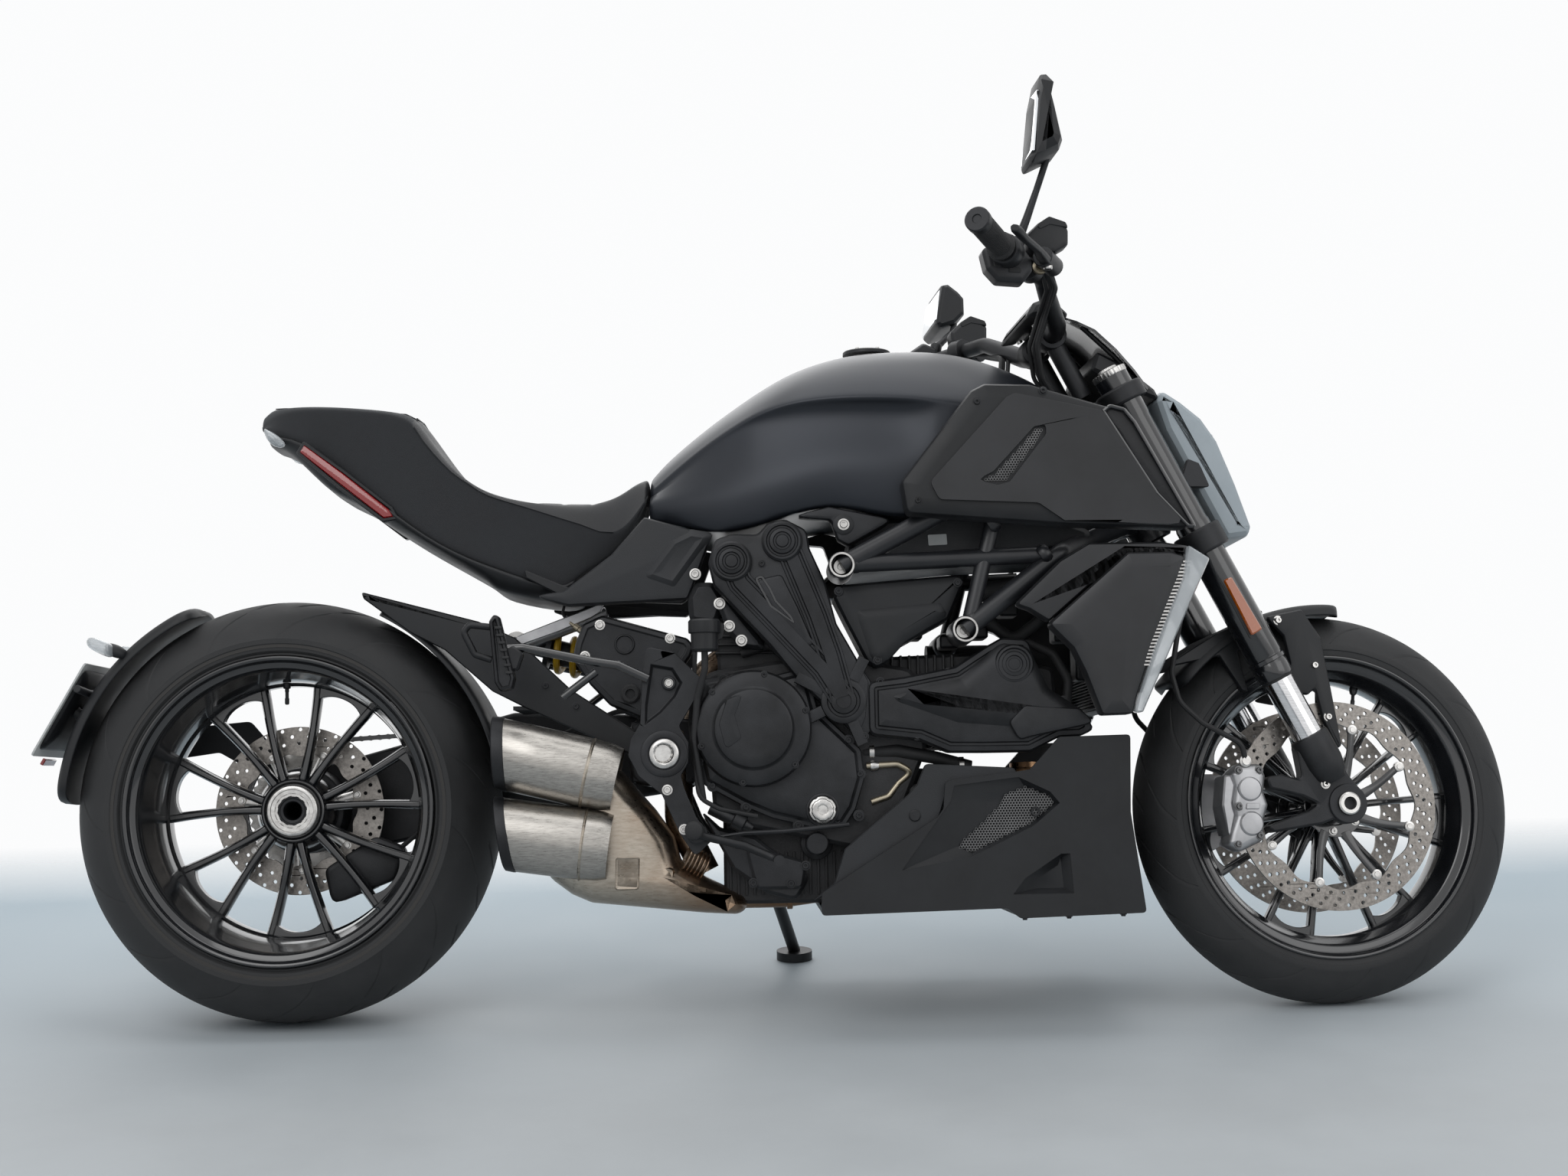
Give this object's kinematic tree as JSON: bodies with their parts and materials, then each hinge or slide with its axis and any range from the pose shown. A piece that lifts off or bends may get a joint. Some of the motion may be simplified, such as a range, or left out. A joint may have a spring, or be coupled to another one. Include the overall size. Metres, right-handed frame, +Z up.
{
  "type": "standard motorcycle",
  "caption": "Large naked road motorcycle with a single-sided swingarm, low seat and wide rear tyre, leaning on its side stand.",
  "frame": {"origin": "middle of the base of the parked machine's box, on the floor", "axes": "+X forward, +Y to the rider's left, +Z up; the machine leans to +Y on its side stand"},
  "size_m": [2.2756, 0.913, 1.4154],
  "materials": {
    "engine_casting": "dark cast metal",
    "dark_casting": "satin black paint on castings",
    "dark_plastic": "satin black plastic",
    "frame_paint": "satin black paint on tube",
    "body_paint": "matt blue-black paint",
    "steel": "bare machined steel",
    "stainless": "brushed stainless steel",
    "radiator_core": "black finned core",
    "clear_lens": "clear lamp lens",
    "red_lens": "red lamp lens",
    "headlight_lens": "dark lamp glass in a black surround",
    "spring_paint": "yellow painted spring",
    "seat_cover": "black suede-like and smooth panels",
    "plate": "bare white plate",
    "chrome_tube": "polished slider and black lug",
    "caliper": "silver-grey anodised body",
    "grip_rubber": "ribbed rubber",
    "tyre": "tread rubber",
    "rim_paint": "gloss black paint, machined spoke edges",
    "disc_steel": "drilled disc steel"
  },
  "bodies": {
    "machine": {"engine_block": "engine_casting", "engine_cover_right": "dark_casting", "clutch_cover": "dark_casting", "belt_covers": "dark_plastic", "side_box": "dark_plastic", "engine_covers_left": "dark_casting", "drive_sprocket": "steel", "drive_chain": "steel", "silencer": "stainless", "exhaust_headers": "stainless", "radiator": "radiator_core", "radiator_covers": "dark_plastic", "front_indicators": "clear_lens", "belly_pan": "dark_plastic", "frame_trellis": "frame_paint", "swingarm": "dark_casting", "footrest_plates": "dark_casting", "foot_controls": "dark_casting", "passenger_footrests": "dark_casting", "rear_shock": "spring_paint", "fuel_tank": "body_paint", "seat": "seat_cover", "tail_unit": "dark_plastic", "tail_light": "red_lens", "side_panels": "dark_plastic", "intake_covers": "body_paint", "rear_hugger": "dark_plastic", "rear_mudguard": "dark_plastic", "number_plate": "plate", "rear_indicators": "clear_lens", "brake_reservoir": "dark_plastic", "rear_caliper": "dark_casting"},
    "front_end": {"triple_clamps": "dark_casting", "fork_tubes": "dark_casting", "fork_sliders": "chrome_tube", "front_axle": "steel", "front_calipers": "caliper", "front_mudguard": "dark_plastic", "handlebar": "dark_casting", "grips": "grip_rubber", "hand_controls": "dark_casting", "mirrors": "dark_plastic", "headlight": "headlight_lens", "flyscreen": "dark_plastic", "dashboard": "dark_plastic"},
    "front_wheel": {"front_tyre": "tyre", "front_rim": "rim_paint", "front_discs": "disc_steel"},
    "rear_wheel": {"rear_tyre": "tyre", "rear_rim": "rim_paint", "rear_disc": "disc_steel", "rear_axle": "steel", "rear_sprocket": "steel"},
    "stand": {"side_stand": "dark_casting"},
    "cap": {"fuel_cap": "dark_casting"}
  },
  "joints": [
    {"name": "rear_wheel_spin", "type": "hinge", "parent": "machine", "child": "rear_wheel", "pos_m": [-0.76006, -0.13628, 0.32133], "axis": [-0.0003, 0.9855, -0.1695], "continuous": true},
    {"name": "steering", "type": "hinge", "parent": "machine", "child": "front_end", "pos_m": [0.55327, -0.05558, 0.78779], "axis": [-0.4522, 0.151, 0.879], "range_deg": [-38, 22]},
    {"name": "front_wheel_spin", "type": "hinge", "parent": "front_end", "child": "front_wheel", "pos_m": [0.83963, -0.13632, 0.29362], "axis": [-0.1255, 0.965, -0.2304], "continuous": true},
    {"name": "side_stand_swing", "type": "hinge", "parent": "machine", "child": "stand", "pos_m": [-0.02235, 0.00912, 0.17408], "axis": [0.0185, 0.6484, 0.7611], "range_deg": [0, 86]},
    {"name": "fuel_cap_hinge", "type": "hinge", "parent": "machine", "child": "cap", "pos_m": [0.18535, -0.01659, 1.01521], "axis": [-0.0003, 0.9855, -0.1695], "range_deg": [0, 100]}
  ]
}
